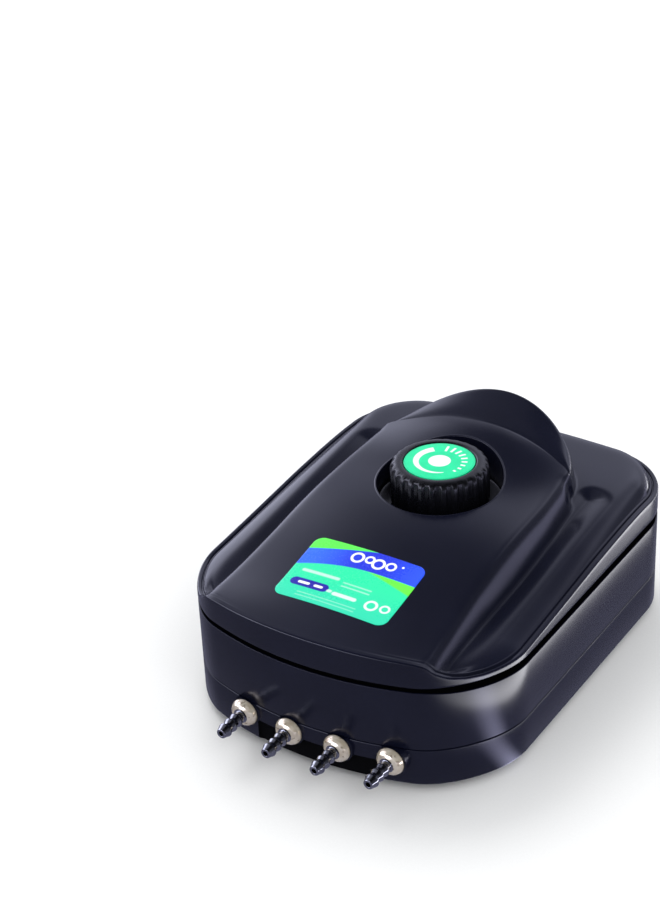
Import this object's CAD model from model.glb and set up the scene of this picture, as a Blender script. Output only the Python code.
"""Visual model of a four-outlet aquarium air pump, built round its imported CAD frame.

Everything is in the CAD's frame: metres, +Z up, +Y to the rear, origin on the
floor. The casing's form uses the same height rules as the CAD part, on a much
finer mesh; lengths in those rules are millimetres.
"""

import math

import bmesh
import bpy
import numpy as np
from mathutils import Matrix, Vector


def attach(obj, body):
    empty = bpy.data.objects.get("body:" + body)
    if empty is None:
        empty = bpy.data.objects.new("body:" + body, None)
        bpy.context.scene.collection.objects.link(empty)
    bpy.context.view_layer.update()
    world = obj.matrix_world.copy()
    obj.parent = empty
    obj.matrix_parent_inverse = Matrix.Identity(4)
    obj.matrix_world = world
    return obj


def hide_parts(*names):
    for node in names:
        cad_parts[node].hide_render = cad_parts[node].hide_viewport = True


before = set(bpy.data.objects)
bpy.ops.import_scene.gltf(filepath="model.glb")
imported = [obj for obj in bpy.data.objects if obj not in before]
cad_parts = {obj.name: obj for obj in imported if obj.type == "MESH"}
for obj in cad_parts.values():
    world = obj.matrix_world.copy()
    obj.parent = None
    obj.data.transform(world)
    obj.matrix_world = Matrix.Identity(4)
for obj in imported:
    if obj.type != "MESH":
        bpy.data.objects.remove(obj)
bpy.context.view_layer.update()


scene = bpy.context.scene
for junk in ("Cube", "Light", "Camera"):
    if junk in bpy.data.objects:
        bpy.data.objects.remove(bpy.data.objects[junk], do_unlink=True)

MM = 0.001
HALF_W, HALF_L, CORNER_R = 72.5, 82.17, 28.0
BOW_FRONT, BOW_BACK, WALL = 19.06, 6.0, 2.5
FOOT_H, SEAM_Z, RIM_Z, LID_Z = 4.0, 16.48, 42.8, 45.0
KNOB_Y, RECESS_R, RECESS_FLOOR = 5.9, 26.0, 60.0
KNOB_R, DIAL_R, KNOB_RIBS = 20.4, 14.6, 26
OUTLET_X0, OUTLET_PITCH, OUTLET_Z, BARB_LEN = 5.0, 21.8, 15.8, 14.0
LABEL_W, LABEL_H, LABEL_Y = 50.5, 34.4, -63.8
SKIN = 2.3
SCREW_XY = ((60.0, -58.0), (60.0, 50.0))
FOOT_XY = ((50.0, -74.0), (50.0, 64.0))
CORD_X, CORD_Z, CORD_END = -34.0, 12.0, 118.2


def z_up(v):
    return v + FOOT_H


# --------------------------------------------------------------- the outline
def bowed(x, y):
    swell = 1.0 - (x / HALF_W) ** 2
    bow = np.where(y < 0, -BOW_FRONT, BOW_BACK)
    return y + bow * swell * (y / HALF_L) ** 2


def outline_frame(per_corner=30, per_side=52, per_end=32):
    """Points round the casing and their outward normals."""
    cx, cy = HALF_W - CORNER_R, HALF_L - CORNER_R
    ends = np.linspace(0, 1, per_end + 1)
    sides = np.linspace(-cy, cy, per_side + 1)
    turn = np.linspace(0, math.pi / 2, per_corner + 1)
    half = [(cx * t, -HALF_L) for t in ends]
    half += [(cx + CORNER_R * math.sin(a), -cy - CORNER_R * math.cos(a)) for a in turn[1:]]
    half += [(HALF_W, y) for y in sides[1:]]
    half += [(cx + CORNER_R * math.cos(a), cy + CORNER_R * math.sin(a)) for a in turn[1:]]
    half += [(cx * t, HALF_L) for t in ends[::-1][1:]]
    pts = half + [(-x, y) for x, y in half[-2:0:-1]]
    p = np.array(pts)
    p = np.column_stack([p[:, 0], bowed(p[:, 0], p[:, 1])])
    ahead, behind = np.roll(p, -1, 0), np.roll(p, 1, 0)
    t = (ahead - p) / np.linalg.norm(ahead - p, axis=1)[:, None] \
        + (p - behind) / np.linalg.norm(p - behind, axis=1)[:, None]
    t /= np.linalg.norm(t, axis=1)[:, None]
    return p, np.column_stack([t[:, 1], -t[:, 0]])


def front_y(x):
    return float(bowed(np.array(x, float), np.array(-HALF_L)))


# ------------------------------------------------------- the top cover's form
GRID = np.arange(-140.0, 141.0, 1.0)


def soft_table(points, width=7.0):
    xs, ys = zip(*points)
    raw = np.interp(GRID, xs, ys)
    k = np.arange(-30, 31)
    w = np.exp(-0.5 * (k / width) ** 2)
    w /= w.sum()
    return np.convolve(np.pad(raw, 30, mode="edge"), w, mode="valid")


HUMP_SIDE = soft_table([(-105, 54.6), (-90, 55.0), (-80, 56.0), (-70, 57.6), (-60, 59.5),
                        (-50, 61.5), (-40, 63.4), (-30, 65.0), (-20, 66.3), (-10, 67.1),
                        (0, 67.6), (20, 68.4), (40, 69.6), (60, 70.5)], 5.0)
HUMP_HALF = soft_table([(-105, 51.0), (-90, 49.4), (-75, 48.0), (-60, 46.8), (-45, 45.9),
                        (-20, 45.6), (10, 45.3), (25, 44.6), (37, 43.5), (60, 43.5)], 3.0)
LIP = soft_table([(-110, 46.9), (-75, 47.1), (-60, 47.6), (-45, 48.7), (-22, 50.7), (7, 53.4),
                  (30, 54.8), (45, 55.2), (58, 54.7), (70, 54.3), (100, 54.2)], 5.0)
RISE = soft_table([(-90, 2.0), (-70, 2.6), (-45, 3.0), (-20, 3.3), (0, 3.6), (25, 4.4),
                   (45, 4.9), (58, 5.8), (70, 6.2), (100, 6.3)])
ROLL = soft_table([(-110, 6.5), (-30, 6.0), (10, 5.0), (30, 4.2), (45, 3.2), (62, 1.8), (100, 1.6)], 5.0)
LIP_AT = (40.0, 45.0, 50.4, 55.5, 60.2, 64.0)      # the front band's crest,
LIP_MORE = (8.6, 8.2, 6.4, 2.8, 0.7, 0.0)          # above LIP, by distance from the centre plane
TROUGH = soft_table([(-100, 0.9), (-70, 1.3), (-45, 1.7), (-20, 2.0), (30, 2.2)])


def look(table, y):
    return np.interp(y, GRID, table)


def step(t):
    t = np.clip(t, 0.0, 1.0)
    return t * t * (3 - 2 * t)


def ramp(v, r):
    return r * np.logaddexp(0.0, v / r)


def edge_distance(x, y):
    k = np.where(y < 0, BOW_FRONT, BOW_BACK) * (1 - np.minimum(np.abs(x) / HALF_W, 0.999) ** 2)
    k = np.maximum(k / HALF_L ** 2, 1e-9)
    flat = (-1 + np.sqrt(1 + 4 * k * np.abs(y))) / (2 * k)
    qx, qy = np.abs(x) - (HALF_W - CORNER_R), flat - (HALF_L - CORNER_R)
    out = np.hypot(np.maximum(qx, 0), np.maximum(qy, 0))
    return CORNER_R - out - np.minimum(np.maximum(qx, qy), 0)


TAIL_Y, TAIL_A, TAIL_B, TAIL_P = 37.0, 43.5, 26.5, 0.65


def hump_distance(x, y):
    ax = np.abs(x)
    side = ax - look(HUMP_HALF, y)
    v = np.maximum((y - TAIL_Y) / TAIL_B, 1e-6)
    f = v ** (1 / TAIL_P) + (ax / TAIL_A) ** 2 - 1
    gx = 2 * ax / TAIL_A ** 2
    gy = v ** (1 / TAIL_P - 1) / (TAIL_P * TAIL_B)
    tail = f / np.maximum(np.hypot(gx, gy), 0.02)
    return np.where(y < TAIL_Y, side, tail)


def brow_y(x):
    return 43.0 - 7.0 * (x / 43.5) ** 2


def front_top(x, y):
    arch = 2.4 + 6.1 * step((y + 2.0) / 90.0 * 2.0) ** 1.5
    return look(HUMP_SIDE, y) + arch * (1 - (np.minimum(np.abs(x), 50.0) / 45.5) ** 2)


def hump_top(x, y):
    cx = np.clip(x, -43.4, 43.4)
    yh = brow_y(cx)
    yv = TAIL_Y + TAIL_B * (1 - (cx / TAIL_A) ** 2) ** TAIL_P
    zh = front_top(cx, yh)
    zv = 84.0 - 17.0 * (cx / TAIL_A) ** 2
    t = np.clip((y - yh) / np.maximum(yv - yh, 1.0), 0.0, 1.0)
    tail = zh + (zv - zh) * t ** 1.7 - 1.7 * (t / 0.14) * np.exp(1 - t / 0.14)
    return np.where(y > yh, tail, front_top(x, y))


def cover_height(x, y):
    d = hump_distance(x, y)
    rear = step((y - 28.0) / 6.0)
    fall = (2.6 + 5.4 * rear) * ramp(d - 0.7, 0.9 - 0.45 * rear)
    hump = hump_top(x, y) - fall
    e = edge_distance(x, y)
    ax = np.abs(x)
    more = np.where(y < 0, np.interp(ax, LIP_AT, LIP_MORE), 0.0)
    lip = look(LIP, y) + more * (1 - step((e - 2.2) / 5.0))
    groove = 0.9 * step((e - 1.7) / 0.6) * (1 - step((e - 2.5) / 0.7))
    shoulder = lip - groove \
        + look(RISE, y) * (1 - np.exp(-np.maximum(e - 3.7, 0) / look(ROLL, y)))
    along = np.hypot((ax - 51.4) / np.where(ax > 51.4, 11.5, 6.4), np.maximum(y - 38.0, 0) / 7.5)
    shoulder = shoulder - look(TROUGH, y) * (1 - step(along))
    k = 0.45 + 0.85 * step((y - 34.0) / 12.0)        # a softer foot behind the fin
    return k * np.logaddexp(shoulder / k, hump / k)


def cover_underside(x, y):
    low = cover_height(x, y) - SKIN
    for r in (0.55 * SKIN, 0.95 * SKIN):
        drop = math.sqrt(SKIN * SKIN - r * r)
        for a in range(8):
            ca, sa = math.cos(a * math.pi / 4), math.sin(a * math.pi / 4)
            low = np.minimum(low, cover_height(x + r * ca, y + r * sa) - drop)
    return low


# ---------------------------------------------------------------- mesh tools
def new_piece(name, mesh, mat, body, nodes=(), smooth=35.0):
    obj = bpy.data.objects.new(name, mesh)
    scene.collection.objects.link(obj)
    mesh.materials.clear()
    if mat:
        mesh.materials.append(mat)
    if smooth is not None:
        mesh.shade_smooth()
        mesh.set_sharp_from_angle(angle=math.radians(smooth))
    if body:
        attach(obj, body)
    if nodes:
        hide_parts(*nodes)
    return obj


def bm_mesh(bm, name, weld=1e-6):
    if weld:
        bmesh.ops.remove_doubles(bm, verts=bm.verts, dist=weld)
    bmesh.ops.recalc_face_normals(bm, faces=bm.faces)
    mesh = bpy.data.meshes.new(name)
    bm.to_mesh(mesh)
    bm.free()
    return mesh


def rows_mesh(name, rows, closed=False, caps=True, weld=1e-6):
    """A surface through rings of equal count; points in millimetres."""
    bm = bmesh.new()
    made = [[bm.verts.new((x * MM, y * MM, z * MM)) for x, y, z in row] for row in rows]
    n = len(made[0])
    pairs = list(zip(made[:-1], made[1:])) + ([(made[-1], made[0])] if closed else [])
    for a, b in pairs:
        for i in range(n):
            j = (i + 1) % n
            bm.faces.new((a[i], a[j], b[j], b[i]))
    if caps and not closed:
        bm.faces.new(made[0][::-1])
        bm.faces.new(made[-1])
    return bm_mesh(bm, name, weld)


def fillet(points, closed=True, seg=5):
    """A polyline with its corners rounded: (a, b) or (a, b, radius)."""
    out = []
    n = len(points)
    for i, pt in enumerate(points):
        p = np.array(pt[:2], float)
        r = pt[2] if len(pt) > 2 else 0.0
        if r <= 0 or (not closed and i in (0, n - 1)):
            out.append(tuple(p))
            continue
        a = np.array(points[(i - 1) % n][:2], float) - p
        b = np.array(points[(i + 1) % n][:2], float) - p
        la, lb = np.linalg.norm(a), np.linalg.norm(b)
        if la < 1e-9 or lb < 1e-9:
            out.append(tuple(p))
            continue
        a, b = a / la, b / lb
        half = math.acos(max(-1.0, min(1.0, float(a @ b)))) / 2
        if half > math.pi / 2 - 0.03 or half < 0.02:
            out.append(tuple(p))
            continue
        cut_ = min(r / math.tan(half), 0.48 * la, 0.48 * lb)
        r = cut_ * math.tan(half)
        c = p + (a + b) / np.linalg.norm(a + b) * (r / math.sin(half))
        s, e = p + a * cut_ - c, p + b * cut_ - c
        ang = math.acos(max(-1.0, min(1.0, float(s @ e) / (r * r))))
        for k in range(seg + 1):
            t = k / seg
            w = (math.sin((1 - t) * ang) * s + math.sin(t * ang) * e) / math.sin(ang)
            out.append(tuple(c + w))
    return out


def lathe(name, profile, centre=(0, 0, 0), axis="z", steps=64, closed=False):
    """A turned piece. profile: (radius, along), millimetres. '-y' runs forwards."""
    bm = bmesh.new()
    rings = []
    for r, h in profile:
        if r < 1e-6:
            pts = [(0.0, 0.0, h)]
        else:
            pts = [(r * math.cos(2 * math.pi * k / steps), r * math.sin(2 * math.pi * k / steps), h)
                   for k in range(steps)]
        placed = []
        for x, y, z in pts:
            if axis == "z":
                v = (x, y, z)
            elif axis == "x":
                v = (z, x, y)
            elif axis == "y":
                v = (-x, z, y)
            else:
                v = (x, -z, y)
            placed.append(bm.verts.new(tuple((c + u) * MM for c, u in zip(centre, v))))
        rings.append(placed)
    pairs = list(zip(rings[:-1], rings[1:])) + ([(rings[-1], rings[0])] if closed else [])
    for a, b in pairs:
        if len(a) == 1 and len(b) == 1:
            continue
        for i in range(steps):
            j = (i + 1) % steps
            if len(a) == 1:
                bm.faces.new((a[0], b[j], b[i]))
            elif len(b) == 1:
                bm.faces.new((a[i], a[j], b[0]))
            else:
                bm.faces.new((a[i], a[j], b[j], b[i]))
    return bm_mesh(bm, name)


def box_mesh(name, lo, hi, bevel=0.0, seg=3):
    bm = bmesh.new()
    bmesh.ops.create_cube(bm, size=1.0)
    for v in bm.verts:
        v.co = Vector([(l + h) / 2 * MM + c * (h - l) * MM for c, l, h in zip(v.co, lo, hi)])
    if bevel:
        bmesh.ops.bevel(bm, geom=list(bm.edges), offset=bevel * MM, segments=seg, affect="EDGES", profile=0.5)
    return bm_mesh(bm, name)


def boolean(mesh, others, operation="DIFFERENCE"):
    """mesh cut by, or joined with, each of the others; the result as a new mesh."""
    obj = bpy.data.objects.new("work", mesh)
    scene.collection.objects.link(obj)
    tools = []
    for m in others:
        tool = bpy.data.objects.new("tool", m)
        scene.collection.objects.link(tool)
        tools.append(tool)
        mod = obj.modifiers.new("b", "BOOLEAN")
        mod.operation = operation
        mod.solver = "MANIFOLD"
        mod.object = tool
    graph = bpy.context.evaluated_depsgraph_get()
    graph.update()
    result = bpy.data.meshes.new_from_object(obj.evaluated_get(graph), depsgraph=graph)
    result.name = mesh.name
    for o in [obj] + tools:
        bpy.data.objects.remove(o, do_unlink=True)
    return result


def cyl(r, lo, hi, xy=(0.0, 0.0), steps=64):
    return lathe("c", [(0, lo), (r, lo), (r, hi), (0, hi)], (xy[0], xy[1], 0), steps=steps)


# ----------------------------------------------------------------- materials
class Ex:
    """A value in a node tree that can be calculated with."""

    def __init__(self, tree, socket):
        self.tree, self.socket = tree, socket

    def op(self, kind, *others, clamp=False):
        node = self.tree.nodes.new("ShaderNodeMath")
        node.operation = kind
        node.use_clamp = clamp
        for i, v in enumerate((self,) + others):
            if isinstance(v, Ex):
                self.tree.links.new(v.socket, node.inputs[i])
            else:
                node.inputs[i].default_value = float(v)
        return Ex(self.tree, node.outputs[0])

    def __add__(self, o):
        return self.op("ADD", o)

    __radd__ = __add__

    def __sub__(self, o):
        return self.op("SUBTRACT", o)

    def __rsub__(self, o):
        return (self * -1.0) + o

    def __mul__(self, o):
        return self.op("MULTIPLY", o)

    __rmul__ = __mul__

    def __truediv__(self, o):
        return self.op("DIVIDE", o)

    def pow(self, o):
        return self.op("POWER", o)

    def abs(self):
        return self.op("ABSOLUTE")

    def sqrt(self):
        return self.op("SQRT")

    def sin(self):
        return self.op("SINE")

    def min(self, o):
        return self.op("MINIMUM", o)

    def max(self, o):
        return self.op("MAXIMUM", o)

    def above(self, level, width):
        """0 below the level and 1 above it, with a soft edge this wide."""
        return self.remap(level - width / 2, level + width / 2)

    def below(self, level, width):
        return 1.0 - self.above(level, width)

    def remap(self, a, b, lo=0.0, hi=1.0, kind="SMOOTHSTEP"):
        node = self.tree.nodes.new("ShaderNodeMapRange")
        node.interpolation_type = kind
        self.tree.links.new(self.socket, node.inputs[0])
        for i, v in ((1, a), (2, b), (3, lo), (4, hi)):
            node.inputs[i].default_value = float(v)
        return Ex(self.tree, node.outputs[0])


class Look:
    """A node material on a Principled BSDF, patterned in object space."""

    def __init__(self, name, rough=0.5, metal=0.0, ior=1.46, coat=0.0, sheen=0.0):
        self.mat = bpy.data.materials.new(name)
        self.mat.use_nodes = True
        self.tree = self.mat.node_tree
        self.bsdf = self.tree.nodes["Principled BSDF"]
        self.bsdf.inputs["Roughness"].default_value = rough
        self.bsdf.inputs["Metallic"].default_value = metal
        self.bsdf.inputs["IOR"].default_value = ior
        self.bsdf.inputs["Coat Weight"].default_value = coat
        self.bsdf.inputs["Sheen Weight"].default_value = sheen
        self.coord = self.tree.nodes.new("ShaderNodeTexCoord").outputs["Object"]
        self.normal = None
        self._xyz = None

    def xyz(self):
        if self._xyz is None:
            node = self.tree.nodes.new("ShaderNodeSeparateXYZ")
            self.tree.links.new(self.coord, node.inputs[0])
            self._xyz = [Ex(self.tree, s) for s in node.outputs]
        return self._xyz

    def mapped(self, scale):
        node = self.tree.nodes.new("ShaderNodeMapping")
        node.inputs["Scale"].default_value = scale
        self.tree.links.new(self.coord, node.inputs["Vector"])
        return node.outputs[0]

    def noise(self, scale, detail=3.0, rough=0.5, stretch=None, distort=0.0):
        node = self.tree.nodes.new("ShaderNodeTexNoise")
        self.tree.links.new(self.mapped(stretch) if stretch else self.coord, node.inputs["Vector"])
        node.inputs["Scale"].default_value = scale
        node.inputs["Detail"].default_value = detail
        node.inputs["Roughness"].default_value = rough
        node.inputs["Distortion"].default_value = distort
        return Ex(self.tree, node.outputs["Fac"])

    def cells(self, scale, stretch=None, feature="F1"):
        node = self.tree.nodes.new("ShaderNodeTexVoronoi")
        node.feature = feature
        self.tree.links.new(self.mapped(stretch) if stretch else self.coord, node.inputs["Vector"])
        node.inputs["Scale"].default_value = scale
        return Ex(self.tree, node.outputs["Distance"])

    def mix(self, fac, a, b):
        node = self.tree.nodes.new("ShaderNodeMix")
        node.data_type = "RGBA"
        node.clamp_factor = True
        if isinstance(fac, Ex):
            self.tree.links.new(fac.socket, node.inputs[0])
        else:
            node.inputs[0].default_value = fac
        for i, v in ((6, a), (7, b)):
            if isinstance(v, tuple):
                node.inputs[i].default_value = (*v[:3], 1.0)
            else:
                self.tree.links.new(v, node.inputs[i])
        return node.outputs[2]

    def colour(self, value):
        if isinstance(value, tuple):
            self.bsdf.inputs["Base Color"].default_value = (*value, 1.0)
        else:
            self.tree.links.new(value, self.bsdf.inputs["Base Color"])

    def drive(self, name, ex):
        self.tree.links.new(ex.socket, self.bsdf.inputs[name])

    def bump(self, height, distance, strength=1.0):
        node = self.tree.nodes.new("ShaderNodeBump")
        node.inputs["Strength"].default_value = strength
        node.inputs["Distance"].default_value = distance
        self.tree.links.new(height.socket, node.inputs["Height"])
        if self.normal is not None:
            self.tree.links.new(self.normal, node.inputs["Normal"])
        self.normal = node.outputs[0]
        self.tree.links.new(self.normal, self.bsdf.inputs["Normal"])

    def up(self):
        """How far a face looks up, -1 to 1."""
        geo = self.tree.nodes.new("ShaderNodeNewGeometry")
        node = self.tree.nodes.new("ShaderNodeSeparateXYZ")
        self.tree.links.new(geo.outputs["Normal"], node.inputs[0])
        return Ex(self.tree, node.outputs[2])


def moulded(name, dark, light, rough=0.3, grain=0.000012, scale=1500.0, dust=0.02, ior=1.46, vary=0.05, worn=0.09,
            mottle=0.10, calm=None):
    """Injection-moulded plastic: fine spark grain, faint flow tone, hairline
    scuffs and a trace of dust on what faces up."""
    k = Look(name, rough, ior=ior)
    tone = k.noise(22.0, 3.0, 0.55)
    grainy = k.noise(scale, 2.0, 0.6)
    fine = k.noise(scale * 2.7, 1.0, 0.5)
    body = k.mix(tone.remap(0.35, 0.68), dark, light)
    speck = k.noise(900.0, 2.0, 0.7).above(0.68, 0.06) * k.up().remap(0.25, 0.95) * k.noise(35.0, 2.0).remap(0.4, 0.65)
    body = k.mix(speck * dust * 6.0, body, (0.32, 0.32, 0.33))
    k.colour(body)
    scuff = k.noise(60.0, 4.0, 0.65, stretch=(1.0, 14.0, 3.0)).above(0.665, 0.03) * worn
    smudge = k.noise(14.0, 2.0, 0.5, distort=0.6).remap(0.42, 0.7)
    k.drive("Roughness", smudge * vary + scuff + (grainy - 0.5) * mottle + rough)
    k.bump(grainy * 0.7 + fine * 0.3, grain, 0.6)
    if calm:                                  # less gloss along the front of what faces up
        x, y, z = k.xyz()
        near = (y * 1000.0).remap(calm[0], calm[1], 1.0, 0.0) * k.up().remap(0.6, 0.85)
        k.drive("Specular IOR Level", near * -0.30 + 0.5)
    return k.mat


def rubbery(name, dark, light, rough=0.78, grain=0.00003, spec=0.5):
    k = Look(name, rough, ior=1.5, sheen=0.15 if spec > 0.3 else 0.0)
    k.bsdf.inputs["Specular IOR Level"].default_value = spec
    tone = k.noise(60.0, 3.0)
    k.colour(k.mix(tone, dark, light))
    g = k.noise(2200.0, 3.0, 0.7)
    bloom = k.noise(45.0, 3.0, 0.6).above(0.6, 0.15)
    k.drive("Roughness", (g - 0.5) * 0.18 + bloom * 0.08 + rough)
    k.bump(g, grain, 0.7)
    return k.mat


def metallic(name, tint, shade, rough=0.25, brushed=None, grain=0.000006, spots=0.0):
    k = Look(name, rough, metal=1.0)
    tone = k.noise(70.0, 4.0, 0.6)
    col = k.mix(tone.remap(0.35, 0.7), tint, shade)
    if spots:
        col = k.mix(k.noise(420.0, 3.0, 0.6).above(0.66, 0.06) * spots, col, (0.16, 0.11, 0.07))
    k.colour(col)
    lines = k.noise(900.0, 2.0, 0.6, stretch=brushed or (1.0, 1.0, 1.0))
    k.drive("Roughness", (lines - 0.5) * 0.22 + k.noise(30.0, 2.0) * 0.08 + rough - 0.04)
    k.bump(lines, grain, 0.5)
    return k.mat


def well_look():
    """The knob's recess: the casing's plastic, darker down the wall and on the floor."""
    k = Look("recess_plastic", 0.24, ior=1.46)
    x, y, z = k.xyz()
    tone = k.noise(40.0, 3.0)
    rim = (z * 1000.0).above(66.5, 1.6)
    deep = k.mix(tone, (0.0010, 0.0010, 0.0020), (0.0018, 0.0018, 0.0034))
    k.colour(k.mix(rim, deep, (0.0042, 0.0048, 0.0130)))
    g = k.noise(1500.0, 2.0, 0.6)
    k.drive("Roughness", (g - 0.5) * 0.08 + k.noise(30.0, 2.0) * 0.06 + 0.20)
    k.bump(g, 0.000004, 0.5)
    return k.mat


def nickel_look():
    """Plated flanges with a warm tint, and darker, glossier stems."""
    k = Look("nickel_plate", 0.1, metal=1.0)
    x, y, z = k.xyz()
    first = (OUTLET_X0 - 1.5 * OUTLET_PITCH) * MM
    cell = (x - (first - OUTLET_PITCH * MM / 2)) * (1.0 / (OUTLET_PITCH * MM))
    dx = (cell.op("FRACT") - 0.5) * OUTLET_PITCH
    dz = (z - OUTLET_Z * MM) * 1000.0
    r = (dx * dx + dz * dz).sqrt()
    stem = r.below(3.05, 0.25)
    tone = k.noise(260.0, 4.0, 0.6)
    warm = k.mix(tone.remap(0.35, 0.65), (0.95, 0.86, 0.70), (0.80, 0.69, 0.53))
    warm = k.mix(k.noise(420.0, 3.0, 0.6).above(0.62, 0.05) * 0.6, warm, (0.20, 0.13, 0.07))
    dark = k.mix(tone.remap(0.3, 0.7), (0.34, 0.345, 0.365), (0.46, 0.465, 0.485))
    k.colour(k.mix(stem, warm, dark))
    k.drive("Metallic", stem * 0.35 + 0.65)
    lines = k.noise(900.0, 2.0, 0.6, stretch=(0.5, 6.0, 0.5))
    k.drive("Roughness", (lines - 0.5) * 0.06 + k.noise(60.0, 2.0) * 0.05 + 0.06)
    k.bump(lines, 0.000005, 0.5)
    return k.mat


CASING = moulded("casing_plastic", (0.0036, 0.0042, 0.0115), (0.0050, 0.0058, 0.0150), rough=0.20, grain=0.000004,
                 dust=0.003, vary=0.02, worn=0.008, mottle=0.03, calm=(-98.0, -76.0))
WELL = well_look()
KNOB_BLACK = moulded("knob_plastic", (0.0020, 0.0021, 0.0034), (0.0032, 0.0033, 0.0050), rough=0.27, grain=0.000004, dust=0.003, worn=0.03)
SEAL_BLACK = rubbery("seal_black", (0.0004, 0.0004, 0.0005), (0.0008, 0.0008, 0.0010), rough=0.95, grain=0.00001, spec=0.0)
RECESS_BLACK = rubbery("recess_black", (0.0010, 0.0010, 0.0013), (0.0015, 0.0015, 0.0019), rough=0.9, grain=0.000006, spec=0.08)
BLACK = moulded("dark_moulding", (0.012, 0.012, 0.014), (0.018, 0.018, 0.021), rough=0.42, grain=0.00002)
GREY = moulded("grey_moulding", (0.16, 0.165, 0.17), (0.21, 0.215, 0.22), rough=0.45, grain=0.00002)
NYLON = moulded("natural_nylon", (0.66, 0.64, 0.57), (0.76, 0.74, 0.68), rough=0.42, grain=0.00002, dust=0.0)
RUBBER = rubbery("black_rubber", (0.010, 0.010, 0.011), (0.020, 0.020, 0.021))
CORD_SKIN = rubbery("cord_skin", (0.012, 0.012, 0.013), (0.018, 0.018, 0.020), rough=0.5, grain=0.000015)
SILICONE = rubbery("milky_silicone", (0.66, 0.69, 0.68), (0.76, 0.78, 0.77), rough=0.36, grain=0.00001)
NICKEL = nickel_look()
STEEL = metallic("zinc_steel", (0.66, 0.67, 0.68), (0.52, 0.54, 0.56), rough=0.34, spots=0.3)
IRON = metallic("laminated_iron", (0.24, 0.23, 0.22), (0.16, 0.15, 0.145), rough=0.46, brushed=(0.2, 0.2, 30.0), grain=0.00003, spots=0.5)
COPPER = metallic("enamelled_copper", (0.62, 0.26, 0.11), (0.45, 0.17, 0.07), rough=0.3, brushed=(40.0, 0.6, 0.6), grain=0.00012)
MAGNET = metallic("ferrite", (0.13, 0.13, 0.14), (0.08, 0.08, 0.085), rough=0.5, spots=0.2)


def board_look():
    k = Look("board_green", 0.35)
    x, y, z = k.xyz()
    lines = (x * 900.0).sin().abs().below(0.16, 0.06).max((y * 700.0).sin().abs().below(0.12, 0.05))
    k.colour(k.mix(lines * 0.6, (0.015, 0.13, 0.045), (0.05, 0.26, 0.10)))
    k.drive("Roughness", k.noise(200.0) * 0.15 + 0.28)
    k.bump(lines, 0.00003, 0.6)
    return k.mat


def felt_look():
    k = Look("filter_felt", 0.95, sheen=0.4)
    g = k.noise(1400.0, 4.0, 0.75)
    k.colour(k.mix(g.remap(0.3, 0.7), (0.42, 0.41, 0.38), (0.78, 0.77, 0.73)))
    k.drive("Roughness", g * 0.1 + 0.85)
    k.bump(g, 0.0003, 0.8)
    return k.mat


BOARD, FELT = board_look(), felt_look()


def dial_look():
    """Green printed disc: white centre, a tapering volume arc, plain tick marks."""
    k = Look("dial_print", 0.33, ior=1.45)
    x, y, z = k.xyz()
    dx, dy = x * (1.0 / (DIAL_R * MM)), (y - KNOB_Y * MM) * (1.0 / (DIAL_R * MM))
    r = (dx * dx + dy * dy).sqrt()
    px = 0.03
    dot = r.below(0.315, px)
    # angle measured from the arc's thick end, turning anticlockwise
    start = math.radians(132.0)
    ca, sa = math.cos(start), math.sin(start)
    ex, ey = dx * ca + dy * sa, dy * ca - dx * sa
    ang = ey.op("ARCTAN2", ex)                      # -pi..pi
    turn = (ang + 2 * math.pi).op("MODULO", 2 * math.pi)
    t = (turn / math.radians(178.0)).min(1.0)
    mid = t * -0.02 + 0.665
    half = (1.0 - t).pow(0.75) * 0.105 + 0.010
    arc = (r - mid).abs()
    arc = (arc - half).below(0.0, px) * turn.below(math.radians(178.0), 0.05) * turn.above(0.02, 0.03)
    # ticks on the other side, longer towards the far end
    span = (turn - math.radians(196.0)) * (1.0 / math.radians(142.0))
    inside = span.above(0.0, 0.02) * span.below(1.0, 0.02)
    cell = (span * 9.0).op("FRACT") - 0.5
    length = (span * 9.0).op("FLOOR") * 0.012 + 0.045
    tick = (cell.abs() * (math.radians(142.0) / 9.0) * r).below(0.034, 0.02) * ((r - 0.70).abs() - length).below(0.0, px)
    ring = (r - 0.965).abs().below(0.012, 0.012) * 0.35
    white = dot.max(arc).max(tick * inside)
    tone = k.noise(160.0, 3.0)
    green = k.mix(tone.remap(0.3, 0.7), (0.0, 0.66, 0.29), (0.0, 0.74, 0.33))
    green = k.mix(ring, green, (0.0, 0.33, 0.15))
    k.colour(k.mix(white, green, (0.86, 0.87, 0.86)))
    g = k.noise(1800.0, 2.0)
    k.drive("Roughness", (g - 0.5) * 0.12 + white * -0.03 + 0.34)
    k.bump(g * 0.25 + white, 0.00001, 0.5)
    return k.mat


ART_W, ART_H = 58.0, 40.0         # the label artwork's own units


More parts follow.
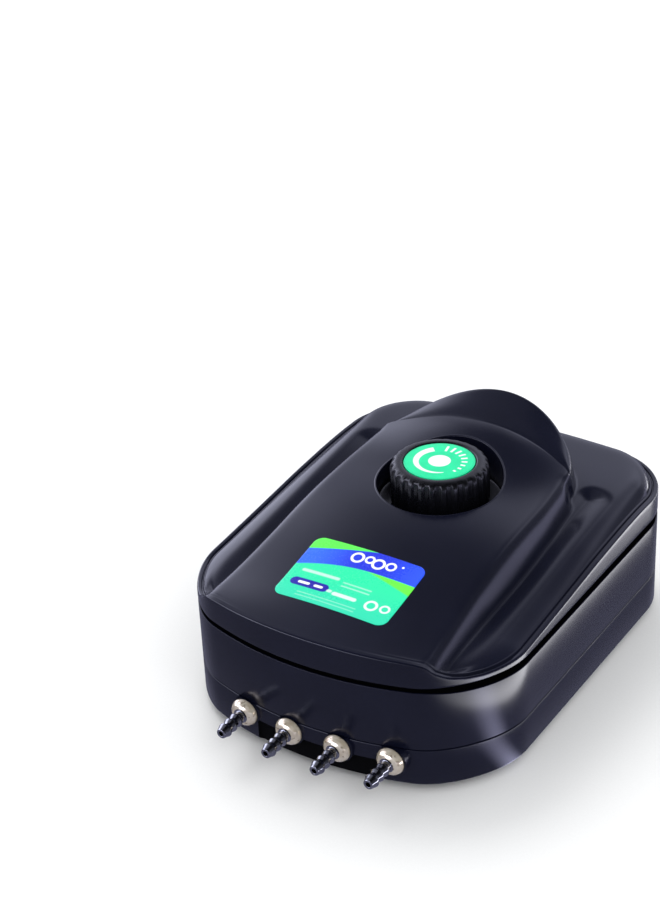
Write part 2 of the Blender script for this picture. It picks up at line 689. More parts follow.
def label_look():
    """A printed film in lime, blue and mint with plain bars and bubbles."""
    k = Look("label_print", 0.30, ior=1.45)
    x, y, z = k.xyz()
    u = (x + LABEL_W / 2 * MM) * (1.0 / (LABEL_W * MM))
    v = (y - (LABEL_Y - LABEL_H / 2) * MM) * (1.0 / (LABEL_H * MM))
    e = 0.012
    top = u * 0.43 + 0.79 - u * u * 0.10
    low = 0.515 + (1.0 - (1.0 - (u / 0.66).min(1.0)).pow(2.0)) * 0.176
    wedge = low - (u - 0.58).max(0.0) * 0.36
    mint = k.mix(v.remap(0.0, 0.6), (0.015, 0.66, 0.40), (0.01, 0.76, 0.36))
    lime = k.mix(u.remap(0.3, 0.85), (0.10, 0.88, 0.07), (0.02, 0.72, 0.28))
    blue = k.mix(u.remap(0.05, 0.5), (0.018, 0.13, 0.87), (0.008, 0.028, 0.66))
    blue = k.mix(u.remap(0.62, 1.0), blue, (0.012, 0.075, 0.86))
    art = mint
    w_lime = k.mix((v - low).below(0.0, e) * (v - wedge).above(0.0, 0.03), art, (0.13, 0.90, 0.05))
    art = k.mix((v - low).above(0.0, e), w_lime, blue)
    art = k.mix((v - top).above(0.0, e), art, lime)
    # a navy pill with plain marks on it
    px, py = ((u - 0.235).abs() * ART_W - 7.4).max(0.0), (v - 0.265) * ART_H
    pill = (px * px + py * py).sqrt().below(2.45, 0.35)
    art = k.mix(pill, art, (0.010, 0.008, 0.34))
    pale = (0.88, 0.90, 0.90)

    def bar(cu, cv, half_mm, thick_mm, soft=0.3):
        bx = ((u - cu).abs() * ART_W - half_mm).max(0.0)
        by = (v - cv) * ART_H
        return (bx * bx + by * by).sqrt().below(thick_mm, soft)

    def bubble(cu, cv, r_mm, t_mm, soft=0.3):
        bx, by = (u - cu) * ART_W, (v - cv) * ART_H
        return ((bx * bx + by * by).sqrt() - r_mm).abs().below(t_mm, soft)

    marks = bar(0.185, 0.265, 2.3, 0.75)
    marks = marks.max(bar(0.315, 0.265, 1.6, 0.75))
    white = bubble(0.43, 0.842, 2.7, 0.62).max(bubble(0.535, 0.86, 1.9, 0.55)).max(bubble(0.62, 0.835, 2.7, 0.62)).max(bubble(0.725, 0.855, 2.1, 0.55))
    white = white.max(bar(0.815, 0.90, 0.01, 0.6))
    soft = bar(0.26, 0.455, 9.0, 0.85, 0.9) * 0.55
    soft = soft.max(bar(0.56, 0.235, 5.2, 1.05, 0.8) * 0.75).max(bar(0.42, 0.25, 0.5, 0.85, 0.8) * 0.6)
    soft = soft.max(bar(0.60, 0.43, 7.0, 0.38, 0.7) * 0.35).max(bar(0.60, 0.375, 7.0, 0.38, 0.7) * 0.35)
    soft = soft.max(bar(0.45, 0.115, 15.0, 0.3, 0.6) * 0.22).max(bar(0.45, 0.065, 15.0, 0.3, 0.6) * 0.22)
    ring = bubble(0.80, 0.235, 2.6, 0.62, 0.5).max(bubble(0.915, 0.25, 2.0, 0.5, 0.5)) * 0.85
    art = k.mix(marks.max(white).max(soft).max(ring), art, pale)
    k.colour(art)
    g = k.noise(1600.0, 2.0)
    k.drive("Roughness", (g - 0.5) * 0.10 + k.noise(40.0, 2.0).remap(0.4, 0.7) * 0.05 + 0.26)
    k.bump(k.noise(55.0, 2.0) * 0.7 + g * 0.05, 0.00004, 0.5)
    return k.mat


DIAL, LABEL = dial_look(), label_look()

# CAD nodes that keep their own mesh
SKINS = {
    "air_manifold": BLACK, "board_capacitor": BLACK, "casing_gasket": RUBBER, "coil_bobbin": NYLON,
    "coil_winding": COPPER, "control_board": BOARD, "core_strap": STEEL, "filter_pad": FELT,
    "magnet_core": IRON, "motor_chassis": NYLON, "potentiometer_body": GREY, "potentiometer_nut": STEEL,
    "potentiometer_shaft": NYLON, "strap_screw_front": STEEL, "strap_screw_rear": STEEL, "filter_cover": BLACK,
}
for side in ("left", "right"):
    SKINS.update({side + "_air_hose": SILICONE, side + "_arm_magnet": MAGNET, side + "_diaphragm": RUBBER,
                  side + "_diaphragm_clamp": STEEL, side + "_exhaust_flap": RUBBER, side + "_intake_flap": RUBBER,
                  side + "_head_cover": BLACK, side + "_pump_head": BLACK, side + "_pivot_bush": RUBBER,
                  side + "_pivot_pin": STEEL, side + "_rocker_arm": GREY, side + "_valve_plate": NYLON})
for node, mat in SKINS.items():
    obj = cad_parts[node]
    obj.data.materials.clear()
    obj.data.materials.append(mat)


# ------------------------------------------------------------- the top cover
OUT_P, OUT_N = outline_frame()
COUNT = len(OUT_P)
SPINE = (-50.0, 30.0)


def ring_at(inset, z):
    """A ring of the outline, moved in by inset, at a height or heights."""
    w = OUT_P - inset * OUT_N
    return np.column_stack([w, np.broadcast_to(np.asarray(z, float), (COUNT,))])


def rim_ring(inset, z):
    """The same, with an inset of its own at every point."""
    w = OUT_P - inset[:, None] * OUT_N
    return np.column_stack([w, z])


def cover_mesh():
    p = OUT_P
    q = np.column_stack([np.zeros(COUNT), np.clip(p[:, 1], *SPINE)])
    reach = np.linalg.norm(p - q, axis=1)
    lean = np.abs(((p - q) / reach[:, None] * OUT_N).sum(1))
    start = 3.4
    lam0 = 1 - start / (reach * lean)
    lams = np.linspace(0.02, 1, 700)
    grid = q[None] + lams[:, None, None] * (p - q)[None]
    dist = hump_distance(grid[..., 0], grid[..., 1])
    edge = np.empty(COUNT)
    for i in range(COUNT):
        k = np.nonzero(dist[:, i] < 0)[0][-1]
        if k + 1 < len(lams):
            a, b = dist[k, i], dist[k + 1, i]
            edge[i] = lams[k] + (lams[k + 1] - lams[k]) * (-a / (b - a))
        else:
            edge[i] = 1.0
    edge = np.minimum(edge, lam0 - 0.03)
    # the brow, where the raised tail starts, gets a ring of its own
    past = grid[..., 1] - brow_y(np.clip(grid[..., 0], -43.4, 43.4))
    frac = np.full(COUNT, np.nan)
    for i in range(COUNT):
        if q[i, 1] < SPINE[1] - 1e-6:
            continue
        k = np.nonzero((past[:-1, i] < 0) & (past[1:, i] >= 0))[0]
        if len(k):
            k = k[0]
            lam = lams[k] + (lams[k + 1] - lams[k]) * (-past[k, i] / (past[k + 1, i] - past[k, i]))
            if lam < edge[i] * 0.985:
                frac[i] = lam / edge[i]
    have = np.nonzero(~np.isnan(frac))[0]
    for i in range(COUNT):
        if np.isnan(frac[i]):
            gap = np.min(np.minimum(np.abs(have - i), COUNT - np.abs(have - i)))
            frac[i] = 0.985 + (0.6 - 0.985) * float(step(gap / 30.0))
    brow = edge * frac

    def free(lam):
        w = q + lam[:, None] * (p - q)
        return np.column_stack([w, cover_height(w[:, 0], w[:, 1]) + FOOT_H])

    zb = cover_height(*(p - 1.5 * OUT_N).T) + FOOT_H
    low = z_up(LID_Z)
    tall = zb - low
    turn = np.minimum(0.8, 0.5 * tall)                        # the rim's rounded top edge
    draft = 0.012 * (tall - turn)
    rows = [ring_at(0.3, low), ring_at(0.12, low + 0.03), ring_at(0.03, low + 0.11), ring_at(0.0, low + 0.25)]
    for t in (0.2, 0.4, 0.6, 0.8, 1.0):
        rows.append(rim_ring(draft * t, low + 0.25 + (zb - turn - low - 0.25) * t))
    for k in range(1, 9):
        a = k / 8 * math.pi / 2
        rows.append(rim_ring(draft + turn * (1 - math.cos(a)), zb - turn + turn * math.sin(a)))
    for inset in (1.8, 1.95, 2.1, 2.25, 2.4, 2.55, 2.7, 2.85, 3.0, 3.15, 3.3):
        w = p - inset * OUT_N
        rows.append(np.column_stack([w, cover_height(*w.T) + FOOT_H]))
    for f in 0.5 * (1 + np.cos(math.pi * np.arange(57) / 56)):
        rows.append(free(edge + (lam0 - edge) * f))
    for g in (0.5 * (1 + np.cos(math.pi * np.arange(1, 37) / 36))):
        rows.append(free(brow + (edge - brow) * g))
    for k in range(1, 31):
        rows.append(free(brow * (1 - (k / 30) ** 1.35)))
    # the inside
    inner_lam = 1 - 6.0 / (reach * lean)
    inside = []
    for f in np.linspace(0.0, 1.0, 72):                       # close rows, for the steep wall behind the fin
        w = q + (inner_lam * f)[:, None] * (p - q)
        inside.append(np.column_stack([w, np.maximum(cover_underside(w[:, 0], w[:, 1]) + FOOT_H, low + 0.8)]))
    inside.append(ring_at(WALL + 1.2, np.maximum(zb - 3.6, low + 0.6)))
    inside.append(ring_at(WALL + 0.2, np.maximum(zb - 4.6, low + 0.45)))
    inside.append(ring_at(WALL, low + 0.3))
    inside.append(ring_at(WALL - 0.3, low))
    rows = inside + rows
    return rows_mesh("casing_lid_skin", [[tuple(v) for v in r] for r in rows], caps=False, weld=2e-6)


lid = boolean(cover_mesh(), [cyl(26.35, 55.0, 100.0, (0, KNOB_Y), 160)])
pillars = []
for sx in (1, -1):
    for x, y in SCREW_XY:
        top = float(cover_underside(np.array(x), np.array(y))) + FOOT_H
        pillars.append(lathe("p", fillet([(1.9, 18.6, 0.2), (4.5, 18.6, 0.3), (4.5, top + 0.8), (1.9, top + 0.8)]),
                             (sx * x, y, 0), steps=40, closed=True))
lid = boolean(lid, pillars, "UNION")
new_piece("casing_lid", lid, CASING, "casing", ("top_cover",), 48)

# the recess that holds the knob: rolled edge, wall and floor in one turned skin
ANG = np.linspace(0, 2 * math.pi, 193)[:-1]


def lip_ring(r, dz, fixed=None):
    x, y = r * np.cos(ANG), KNOB_Y + r * np.sin(ANG)
    z = np.full_like(x, fixed) if fixed is not None else cover_height(x, y) + FOOT_H + dz
    return [tuple(v) for v in np.column_stack([x, y, z])]


cup = [lip_ring(27.0, -0.25), lip_ring(26.86, 0.0), lip_ring(26.72, 0.09), lip_ring(26.5, 0.16), lip_ring(26.3, 0.13),
       lip_ring(26.14, 0.03), lip_ring(26.04, -0.14), lip_ring(26.0, -0.4), lip_ring(26.0, 0, 67.0),
       lip_ring(26.0, 0, 65.3), lip_ring(25.9, 0, 64.75), lip_ring(25.6, 0, 64.35), lip_ring(25.1, 0, 64.08),
       lip_ring(24.4, 0, 64.0), lip_ring(20.0, 0, 64.0), lip_ring(10.0, 0, 64.0), lip_ring(4.3, 0, 64.0),
       lip_ring(4.3, 0, 61.5), lip_ring(16.0, 0, 61.5), lip_ring(28.0, 0, 61.5), lip_ring(28.2, -1.3)]
new_piece("knob_recess", rows_mesh("knob_recess", cup, closed=True), WELL, "casing", (), 60)

# ----------------------------------------------------- housing and base pan
s0, t_in, t_out = z_up(SEAM_Z), WALL + 0.3, WALL + 1.8
section = fillet([(0.0, s0 + 0.2, 0.3), (0.0, z_up(RIM_Z), 0.15), (WALL, z_up(RIM_Z), 0.3), (WALL, s0 + 4.4),
                  (t_out, s0 + 3.4), (t_out, s0 - 1.1, 0.2), (t_in, s0 - 1.1, 0.2), (t_in, s0 + 0.2)], seg=4)
# the line below the lid is wider along the sides than in front
SIDE_GAP = 1.35 * step((np.abs(OUT_N[:, 0]) - 0.45) / 0.45)
mid = rows_mesh("casing_middle", [[tuple(v) for v in ring_at(i, z - SIDE_GAP * min(max((z - z_up(RIM_Z) + 3.0) / 2.0, 0.0), 1.0))]
                                  for i, z in section], closed=True)
new_piece("casing_middle", mid, CASING, "casing", ("middle_housing",), 40)

# the seal that shows as a black line between the housing and the lid
seal = fillet([(0.45, z_up(RIM_Z) + 0.04, 0.12), (0.45, z_up(LID_Z) - 0.04, 0.12), (4.2, z_up(LID_Z) - 0.04, 0.12),
               (4.2, z_up(RIM_Z) + 0.04, 0.12)], seg=3)
seal = rows_mesh("casing_seal", [[tuple(v) for v in ring_at(i, z - SIDE_GAP * (z < z_up(RIM_Z) + 0.3))] for i, z in seal],
                 closed=True)
new_piece("casing_seal", seal, SEAL_BLACK, "casing", ("casing_gasket",), 40)

base_rows = [(1.1, z_up(0.0)), (0.75, z_up(0.06)), (0.4, z_up(0.26)), (0.14, z_up(0.6)), (0.0, z_up(1.1)),
             (0.0, z_up(SEAM_Z - 0.6)), (0.06, z_up(SEAM_Z - 0.38)), (0.2, z_up(SEAM_Z - 0.25)), (0.4, z_up(SEAM_Z - 0.2))]
base = rows_mesh("casing_base", [[tuple(v) for v in ring_at(i, z)] for i, z in base_rows])


def channel_mesh():
    """The shallow recess along the lower front edge, with rounded ends."""
    xs = np.linspace(-22.5, 32.5, 60)
    front = [float(bowed(np.array(x), np.array(-HALF_L))) for x in xs]
    ends = [min(1.0, (x + 22.5) / 1.6, (32.5 - x) / 1.6) for x in xs]
    loop_ = [(x, f - 9.0) for x, f in zip(xs, front)] \
        + [(x, f + 1.3 * math.sqrt(max(e, 0.0))) for x, f, e in list(zip(xs, front, ends))[::-1]]
    bm = bmesh.new()
    low = [bm.verts.new((x * MM, y * MM, z_up(-1.0) * MM)) for x, y in loop_]
    high = [bm.verts.new((x * MM, y * MM, z_up(9.4) * MM)) for x, y in loop_]
    n = len(loop_)
    for i in range(n):
        j = (i + 1) % n
        bm.faces.new((low[i], low[j], high[j], high[i]))
    bm.faces.new(low[::-1])
    bm.faces.new(high)
    return bm_mesh(bm, "channel")


base = boolean(base, [channel_mesh()])
outlets = [OUTLET_X0 + OUTLET_PITCH * (i - 1.5) for i in range(4)]
fy = {x: min(front_y(x - 6.4), front_y(x), front_y(x + 6.4)) - 0.3 for x in outlets}
base = boolean(base, [lathe("boss", fillet([(0, -6.0), (6.4, -6.0), (6.4, 0.0, 0.35), (0, 0.0)], closed=False),
                            (x, fy[x], OUTLET_Z), "-y", 72) for x in outlets], "UNION")
base = boolean(base, [box_mesh("above", (-60, -115, z_up(SEAM_Z - 0.2)), (60, -70, 30))])
base = boolean(base, [rows_mesh("hollow", [[tuple(v) for v in ring_at(WALL, z)] for z in (z_up(2.5), 40.0)])])

tools = []
tools += [lathe("hole", [(0, -10.0), (3.5, -10.0), (3.5, 40.0), (0, 40.0)], (x, -80.0, OUTLET_Z), "-y", 40) for x in outlets]
base = boolean(base, tools)
posts = [cyl(6.2, 5.5, 18.0, (sx * x, y), 48) for sx in (1, -1) for x, y in SCREW_XY]
base = boolean(base, posts, "UNION")
tools = []
for sx in (1, -1):
    for x, y in SCREW_XY:
        tools.append(lathe("sink", fillet([(0, 0.0), (4.9, 0.0), (4.9, 4.05), (4.5, 4.45), (4.5, 7.5), (2.1, 7.5),
                                           (2.1, 30.0), (0, 30.0)], closed=False), (sx * x, y, 0), steps=48))
    for x, y in FOOT_XY:
        tools.append(cyl(3.1, 0.0, 20.0, (sx * x, y), 40))
tools.append(box_mesh("filter_hole", (-15.5, 60.5, 0.0), (15.5, 75.5, 20.0)))
tools.append(lathe("cord_hole", [(0, 0), (4.5, 0), (4.5, 30.0), (0, 30.0)], (CORD_X, 70.0, CORD_Z), "y", 40))
base = boolean(base, tools)
bottom = new_piece("casing_bottom", base, CASING, "casing", ("base_pan",), 40)
bottom.data.materials.append(RECESS_BLACK)
for poly in bottom.data.polygons:
    cx_, cy_, cz_ = (v / MM for v in poly.center)
    if -22.6 < cx_ < 32.6 and cy_ < -90.0 and z_up(0.05) < cz_ < z_up(9.5):
        inset_ = float(edge_distance(np.array(cx_), np.array(cy_)))
        if 0.25 < inset_ < 1.6:
            poly.material_index = 1

for i, (sx, (x, y)) in enumerate([(1, FOOT_XY[0]), (-1, FOOT_XY[0]), (1, FOOT_XY[1]), (-1, FOOT_XY[1])]):
    where = ("front_right", "front_left", "rear_right", "rear_left")[i]
    prof = fillet([(0, 9.0), (3.2, 9.0, 0.4), (3.9, 7.9, 0.3), (3.9, 6.9, 0.2), (2.7, 6.8), (2.7, 3.7),
                   (7.0, 3.7, 0.4), (7.8, 3.0, 0.5), (7.4, 0.0, 0.5), (4.4, 0.0, 0.2), (4.0, 0.5, 0.2), (0, 0.5)], closed=False)
    new_piece("rubber_foot_" + where, lathe("f", prof, (sx * x, y, 0), steps=56), RUBBER, "casing",
              ("foot_" + where,))
for i, (sx, (x, y)) in enumerate([(1, SCREW_XY[0]), (-1, SCREW_XY[0]), (1, SCREW_XY[1]), (-1, SCREW_XY[1])]):
    where = ("front_right", "front_left", "rear_right", "rear_left")[i]
    prof = [(0, 36.0), (1.2, 36.0), (1.6, 34.0)]
    for k in range(22):                              # thread
        z = 33.6 - k * 1.1
        prof += [(1.35, z), (1.6, z - 0.45), (1.35, z - 0.9)]
    prof += [(1.4, 7.2)]
    prof = fillet(prof + [(4.0, 7.2, 0.2), (4.0, 5.6, 0.4), (3.4, 4.8, 0.5), (0, 4.8)], closed=False)
    screw = boolean(lathe("s", prof, (sx * x, y, 0), steps=48),
                    [box_mesh("slot", (sx * x - 5.0, y - 0.5, 3.0), (sx * x + 5.0, y + 0.5, 5.9)),
                     box_mesh("slot", (sx * x - 0.5, y - 2.6, 3.0), (sx * x + 0.5, y + 2.6, 5.9))])
    new_piece("screw_" + where, screw, STEEL, "casing", ("casing_screw_" + where,))


# ------------------------------------------------------------------- label
def label_mesh():
    r, n_x = 4.0, 110
    half_h = LABEL_H / 2
    turn = np.linspace(0, math.pi / 2, 12)
    ys = [-half_h + r - r * math.cos(a) for a in turn]
    ys = sorted(set(np.round(ys + list(np.linspace(-half_h + r, half_h - r, 60)) + [-v for v in ys], 6)))
    bm = bmesh.new()

    def sheet_at(lift, shrink):
        rows = []
        for y in ys:
            dy = max(abs(y) - (half_h - r), 0.0)
            half_w = LABEL_W / 2 - r + math.sqrt(max(r * r - dy * dy, 0.0))
            row = []
            for x in np.linspace(-1, 1, n_x):
                px, py = x * (half_w - shrink), y * (1 - shrink / half_h) + LABEL_Y
                z = float(cover_height(np.array(px), np.array(py))) + FOOT_H + lift
                row.append(bm.verts.new((px * MM, py * MM, z * MM)))
            rows.append(row)
        return rows

    layers = [sheet_at(-0.05, 0.0), sheet_at(0.12, 0.0), sheet_at(0.17, 0.07)]
    for k, rows in ((0, layers[0]), (2, layers[2])):
        for a, b in zip(rows[:-1], rows[1:]):
            for i in range(n_x - 1):
                f = (a[i], a[i + 1], b[i + 1], b[i])
                bm.faces.new(f if k else f[::-1])

    def rim(rows):
        return rows[0] + [r_[-1] for r_ in rows[1:]] + rows[-1][-2::-1] + [r_[0] for r_ in rows[-2:0:-1]]

    for lo, hi in ((layers[0], layers[1]), (layers[1], layers[2])):
        a, b = rim(lo), rim(hi)
        for i in range(len(a)):
            j = (i + 1) % len(a)
            bm.faces.new((a[i], a[j], b[j], b[i]))
    return bm_mesh(bm, "printed_label", 1e-7)


new_piece("printed_label", label_mesh(), LABEL, "casing", ("label_sticker",), 40)

# -------------------------------------------------------------------- knob
SIDES = KNOB_RIBS * 16
KANG = 2 * math.pi * np.arange(SIDES) / SIDES
FLUTE = step(0.5 - 0.85 * np.cos(KNOB_RIBS * KANG))


def knob_ring(r, depth, z):
    rr = r - depth * FLUTE
    return [tuple(v) for v in np.column_stack([rr * np.cos(KANG), rr * np.sin(KANG) + KNOB_Y, np.full(SIDES, z)])]


knob_rows = [(17.9, 0, 65.2), (19.3, 0.2, 65.2), (19.9, 0.6, 65.35), (20.25, 0.85, 65.8), (20.4, 0.95, 66.5), (20.4, 0.95, 70.0),
             (20.38, 0.95, 74.0), (20.3, 0.95, 78.0), (20.2, 0.92, 79.6), (20.05, 0.85, 80.3), (19.8, 0.7, 80.95),
             (19.5, 0.5, 81.5), (19.1, 0.34, 81.95), (18.6, 0.18, 82.3), (17.95, 0.06, 82.52), (17.2, 0.01, 82.65),
             (16.4, 0, 82.7), (15.7, 0, 82.68), (15.4, 0, 82.6), (15.15, 0, 82.42), (15.0, 0, 82.2), (14.9, 0, 81.8), (14.9, 0, 81.5),
             (14.0, 0, 81.5), (3.3, 0, 81.5), (3.3, 0, 67.8), (7.0, 0, 67.8), (7.0, 0, 78.0), (17.5, 0, 78.0), (17.5, 0, 65.5)]
knob = rows_mesh("knob_cap", [knob_ring(*r) for r in knob_rows], closed=True)
new_piece("knob_cap", knob, KNOB_BLACK, "knob", ("control_knob",), 42)
disc = fillet([(0, 82.6), (9.0, 82.6), (DIAL_R, 82.56, 0.3), (DIAL_R, 81.8), (0, 81.8)], closed=False)
new_piece("dial_print", lathe("d", disc, (0, KNOB_Y, 0), steps=120), DIAL, "knob", ("knob_dial_disc",))

# ----------------------------------------------------------------- outlets
for i, x in enumerate(outlets):
    f0 = -fy[x] + 0.3
    back = 88.0 - 1.4
    top = f0 + 2.4 + BARB_LEN
    prof = [(1.1, top, 0.12), (2.0, top, 0.25)]
    for b in range(3):
        tip = top - 0.4 - b * 3.6
        prof += [(2.35, tip - 0.9, 0.5), (2.9, tip - 2.3, 0.45), (2.9, tip - 2.9, 0.25), (2.2, tip - 3.2, 0.12)]
    prof += [(2.2, f0 + 3.5, 0.35), (3.2, f0 + 3.3, 1.2), (4.4, f0 + 2.75, 2.0), (5.3, f0 + 1.85, 1.2), (5.8, f0 + 0.8, 0.6), (5.8, f0, 0.2),
             (3.2, f0), (3.2, back, 0.2), (1.1, back, 0.1)]
    new_piece("air_outlet_%d" % (i + 1), lathe("o", fillet(prof, seg=4), (x, 0, OUTLET_Z), "-y", 64, closed=True),
              NICKEL, "casing", ("outlet_nozzle_%d" % (i + 1),), 50)

# ----------------------------------------------------------- cord and grommet
rear = float(bowed(np.array(CORD_X), np.array(HALF_L)))
prof = [(3.45, rear - 6.0), (3.45, rear + 12.0), (4.15, rear + 12.0, 0.3)]
for k in range(5):
    y = rear + 11.2 - k * 1.45
    r = 4.25 + 0.14 * k
    prof += [(r, y, 0.12), (r - 0.55, y - 0.3, 0.1), (r - 0.55, y - 0.7, 0.1), (r + 0.1, y - 1.0, 0.12)]
prof += [(5.0, rear + 3.9, 0.2), (6.6, rear + 3.3, 0.5), (6.6, rear + 1.0, 0.3), (4.1, rear + 1.0), (4.1, rear - 3.8),
         (5.2, rear - 3.8, 0.2), (5.2, rear - 6.0, 0.3)]
new_piece("cord_sleeve", lathe("g", fillet(prof, seg=3), (CORD_X, 0, CORD_Z), "y", 56, closed=True), RUBBER, "casing",
          ("cord_grommet",))


def tube_mesh(name, path, r, sides=40, dense=6):
    """A round solid bar along a smoothed path, with slightly rounded ends."""
    pts = np.array(path, float)
    s = np.concatenate([[0], np.cumsum(np.linalg.norm(np.diff(pts, axis=0), axis=1))])
    want = np.linspace(0, s[-1], int(s[-1] / 1.5) + 2)
    line = np.column_stack([np.interp(want, s, pts[:, k]) for k in range(3)])
    for _ in range(dense):
        line[1:-1] = 0.25 * line[:-2] + 0.5 * line[1:-1] + 0.25 * line[2:]
    tan = np.gradient(line, axis=0)
    tan /= np.linalg.norm(tan, axis=1)[:, None]
    rows = []
    n = len(line)
    for i, (c, t) in enumerate(zip(line, tan)):
        side_ = np.cross(t, (0, 0, 1.0))
        side_ /= np.linalg.norm(side_)
        up_ = np.cross(side_, t)
        a = 2 * math.pi * np.arange(sides) / sides
        ring_ = c + r * (np.cos(a)[:, None] * side_ + np.sin(a)[:, None] * up_)
        if i in (0, n - 1):
            rows_ = [c + (r - 0.15) * (np.cos(a)[:, None] * side_ + np.sin(a)[:, None] * up_)]
            inward = ring_ - t * 0.15 * (1 if i else -1)
            rows += [rows_[0], inward] if i == 0 else [inward, rows_[0]]
        else:
            rows.append(ring_)
    return rows_mesh(name, [[tuple(v) for v in r_] for r_ in rows])


cord = tube_mesh("mains_cord", [(-21.0, 60.0, 14.0), (-26.0, 66.0, 13.4), (-31.5, 72.0, 12.5), (CORD_X, 78.0, CORD_Z),
                                (CORD_X, rear + 12.5, CORD_Z), (CORD_X, CORD_END, CORD_Z)], 3.0)
new_piece("mains_cord", cord, CORD_SKIN, "casing", ("power_cord",), 50)
for k, (tint, dxz) in enumerate((((0.20, 0.07, 0.03), (-1.15, 0.0)), ((0.02, 0.07, 0.30), (1.15, 0.0)))):
    skin = rubbery("core_skin_%d" % (k + 1), tint, tuple(v * 1.25 for v in tint), rough=0.45)
    core = lathe("core", fillet([(0, 0), (0.95, 0), (0.95, 1.0, 0.15), (0, 1.0)], closed=False),
                 (CORD_X + dxz[0], CORD_END - 0.6, CORD_Z + dxz[1]), "y", 28)
    new_piece("cord_core_%d" % (k + 1), core, skin, "casing", ())
    wire = lathe("wire", fillet([(0, 0), (0.5, 0), (0.5, 1.15, 0.1), (0, 1.15)], closed=False),
                 (CORD_X + dxz[0], CORD_END - 0.6, CORD_Z + dxz[1]), "y", 20)
    new_piece("cord_wire_%d" % (k + 1), wire, COPPER, "casing", ())

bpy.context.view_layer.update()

# ------------------------------------------------------- floor, light, camera
FORWARD = (-0.561, 0.828)       # the way the camera looks, seen from above


def floor_piece():
    bm = bmesh.new()
    bmesh.ops.create_grid(bm, x_segments=2, y_segments=2, size=4.0)
    for v in bm.verts:
        v.co.z = 0.0
    mesh = bpy.data.meshes.new("floor")
    bm.to_mesh(mesh)
    bm.free()
    mat = bpy.data.materials.new("pale_floor")
    mat.use_nodes = True
    tree = mat.node_tree
    bsdf = tree.nodes["Principled BSDF"]
    bsdf.inputs["Roughness"].default_value = 0.85
    bsdf.inputs["Specular IOR Level"].default_value = 0.1
    coord = tree.nodes.new("ShaderNodeTexCoord").outputs["Object"]
    tex = tree.nodes.new("ShaderNodeTexNoise")
    tree.links.new(coord, tex.inputs["Vector"])
    tex.inputs["Scale"].default_value = 900.0
    tone = Ex(tree, tex.outputs["Fac"]).remap(0.3, 0.7, 0.985, 1.0)
    shade = tree.nodes.new("ShaderNodeCombineColor")
    for i in range(3):
        tree.links.new((tone * FLOOR_ALBEDO).socket, shade.inputs[i])
    tree.links.new(shade.outputs[0], bsdf.inputs["Base Color"])
    # what the glossy casing sees of the table: dim in front, brighter to the right and far away
    split = tree.nodes.new("ShaderNodeSeparateXYZ")
    tree.links.new(coord, split.inputs[0])
    x, y = Ex(tree, split.outputs[0]), Ex(tree, split.outputs[1])
    ang = (y + 0.05).op("ARCTAN2", x - 0.04) * (180.0 / math.pi)
    side = ang.remap(-70.0, 0.0)
    far = x.remap(0.1155, 0.1205) * x.remap(0.130, 0.19, 1.0, 0.0) * side
    glint = ang.remap(-34.0, -19.0) * ang.remap(-19.0, -5.0, 1.0, 0.0)
    level = TABLE_FRONT + side * (TABLE_SIDE - TABLE_FRONT) + glint * TABLE_GLINT
    level = level + x.remap(0.20, 0.40) * 1.1
    emit = tree.nodes.new("ShaderNodeEmission")
    combine = tree.nodes.new("ShaderNodeCombineColor")
    for i, (tint, pale) in enumerate(zip((0.90, 0.90, 1.30), (1.0, 1.0, 1.04))):
        tree.links.new((level * tint + far * (TABLE_FAR * pale)).socket, combine.inputs[i])
    tree.links.new(combine.outputs[0], emit.inputs["Color"])
    path = tree.nodes.new("ShaderNodeLightPath")
    mix = tree.nodes.new("ShaderNodeMixShader")
    tree.links.new(path.outputs["Is Glossy Ray"], mix.inputs[0])
    tree.links.new(bsdf.outputs[0], mix.inputs[1])
    tree.links.new(emit.outputs[0], mix.inputs[2])
    tree.links.new(mix.outputs[0], tree.nodes["Material Output"].inputs["Surface"])
    mesh.materials.append(mat)
    obj = bpy.data.objects.new("floor", mesh)
    scene.collection.objects.link(obj)
    return obj


FLOOR_ALBEDO = 0.86
TABLE_FRONT, TABLE_SIDE, TABLE_GLINT, TABLE_FAR = 0.21, 0.25, 2.4, 7.5
floor_piece()

world = bpy.data.worlds.new("studio")
scene.world = world
world.use_nodes = True
tree = world.node_tree
for node in list(tree.nodes):
    tree.nodes.remove(node)
gen = tree.nodes.new("ShaderNodeTexCoord").outputs["Generated"]
split = tree.nodes.new("ShaderNodeSeparateXYZ")
tree.links.new(gen, split.inputs[0])
wx, wy, wz = (Ex(tree, s) for s in split.outputs)
ramp_node = tree.nodes.new("ShaderNodeValToRGB")
ramp_node.color_ramp.interpolation = "EASE"
stops = [(0.0, 2.3), (0.38, 2.4), (0.50, 2.0), (0.58, 1.9), (0.66, 1.05), (0.76, 0.30), (1.0, 0.18)]
elements = ramp_node.color_ramp.elements
while len(elements) < len(stops):
    elements.new(0.5)
for el, (pos, val) in zip(elements, stops):
    el.position = pos
    el.color = (val, val, val, 1.0)
tree.links.new(wz.socket, ramp_node.inputs[0])
grad = Ex(tree, tree.nodes.new("ShaderNodeSeparateColor").outputs[0])
tree.links.new(ramp_node.outputs[0], grad.socket.node.inputs[0])
flat = (wx * wx + wy * wy + 1e-6).sqrt()
ahead = (wx * FORWARD[0] + wy * FORWARD[1]) / flat
left = wx * -1.0 / flat
sky = grad * ahead.remap(-0.6, 0.5, 0.4, 1.0) * left.remap(0.66, 0.80, 0.36, 1.0) * (wx / flat).remap(0.3, 0.75, 1.0, 0.22)
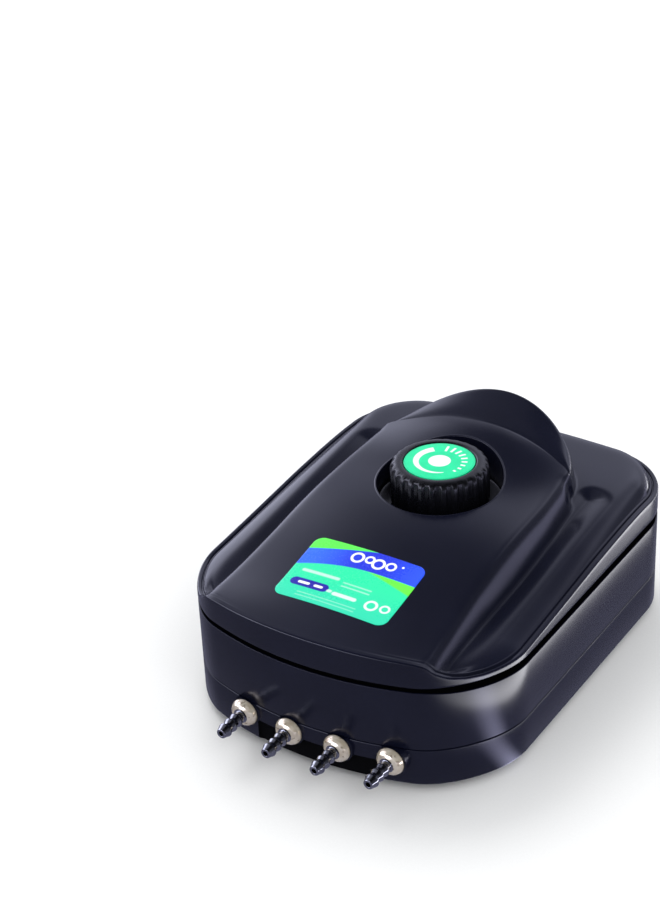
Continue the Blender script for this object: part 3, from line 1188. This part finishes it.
# a soft box behind, a little to the right, and a low strip at the front left
rear_box = ((wx * 0.05 + wy) / flat).remap(0.85, 0.95) * wz.remap(0.44, 0.54) * wz.remap(0.70, 0.80, 1.0, 0.0)
strip = ((wx * -0.5 + wy * -0.86) / flat).remap(0.80, 0.95) * wz.remap(0.04, 0.12) * wz.remap(0.36, 0.46, 1.0, 0.0)
sky = sky + rear_box * 0.7 + strip * 4.0
glossy = tree.nodes.new("ShaderNodeCombineColor")
for i, tint in enumerate((0.93, 0.95, 1.20)):
    tree.links.new((sky * tint).socket, glossy.inputs[i])
path = tree.nodes.new("ShaderNodeLightPath")
mix = tree.nodes.new("ShaderNodeMix")
mix.data_type = "RGBA"
tree.links.new(path.outputs["Is Glossy Ray"], mix.inputs[0])
mix.inputs[6].default_value = (0.89, 0.90, 0.91, 1.0)
tree.links.new(glossy.outputs[0], mix.inputs[7])
back = tree.nodes.new("ShaderNodeBackground")
tree.links.new(mix.outputs[2], back.inputs["Color"])
out = tree.nodes.new("ShaderNodeOutputWorld")
tree.links.new(back.outputs[0], out.inputs["Surface"])


def soft_light(name, place, aim, size, power, glossy_seen=False, tint=(1.0, 1.0, 1.0)):
    light = bpy.data.lights.new(name, "AREA")
    light.shape = "RECTANGLE"
    light.size, light.size_y = size
    light.energy = power
    light.color = tint
    obj = bpy.data.objects.new(name, light)
    scene.collection.objects.link(obj)
    obj.location = place
    obj.rotation_euler = (Vector(aim) - Vector(place)).to_track_quat("-Z", "Y").to_euler()
    obj.visible_glossy = glossy_seen
    obj.visible_camera = False
    return obj


soft_light("key", (-0.9, 0.55, 1.5), (0, 0, 0.03), (1.3, 1.0), 14.0)
soft_light("fill", (1.1, -0.9, 1.2), (0, 0, 0.03), (1.2, 1.2), 9.0)

AZ, EL, ROLL = (math.radians(v) for v in (34.12856, 29.7061, -2.91972))
back_v = Vector((math.sin(AZ) * math.cos(EL), -math.cos(AZ) * math.cos(EL), math.sin(EL)))
x_v = Vector((0, 0, 1)).cross(back_v).normalized()
y_v = back_v.cross(x_v)
xr = x_v * math.cos(ROLL) + y_v * math.sin(ROLL)
yr = y_v * math.cos(ROLL) - x_v * math.sin(ROLL)
cam = bpy.data.cameras.new("view")
cam.sensor_fit = "VERTICAL"
cam.sensor_height = 36.0
cam.lens = 81.106
cam.clip_start, cam.clip_end = 0.01, 50.0
cam_obj = bpy.data.objects.new("view", cam)
scene.collection.objects.link(cam_obj)
m = Matrix((xr, yr, back_v)).transposed().to_4x4()
m.translation = Vector((0.362565, -0.607707, 0.496074))
cam_obj.matrix_world = m
scene.camera = cam_obj
scene.view_settings.view_transform = "Standard"
scene.view_settings.look = "None"
scene.view_settings.exposure = 0.0
scene.view_settings.gamma = 1.0
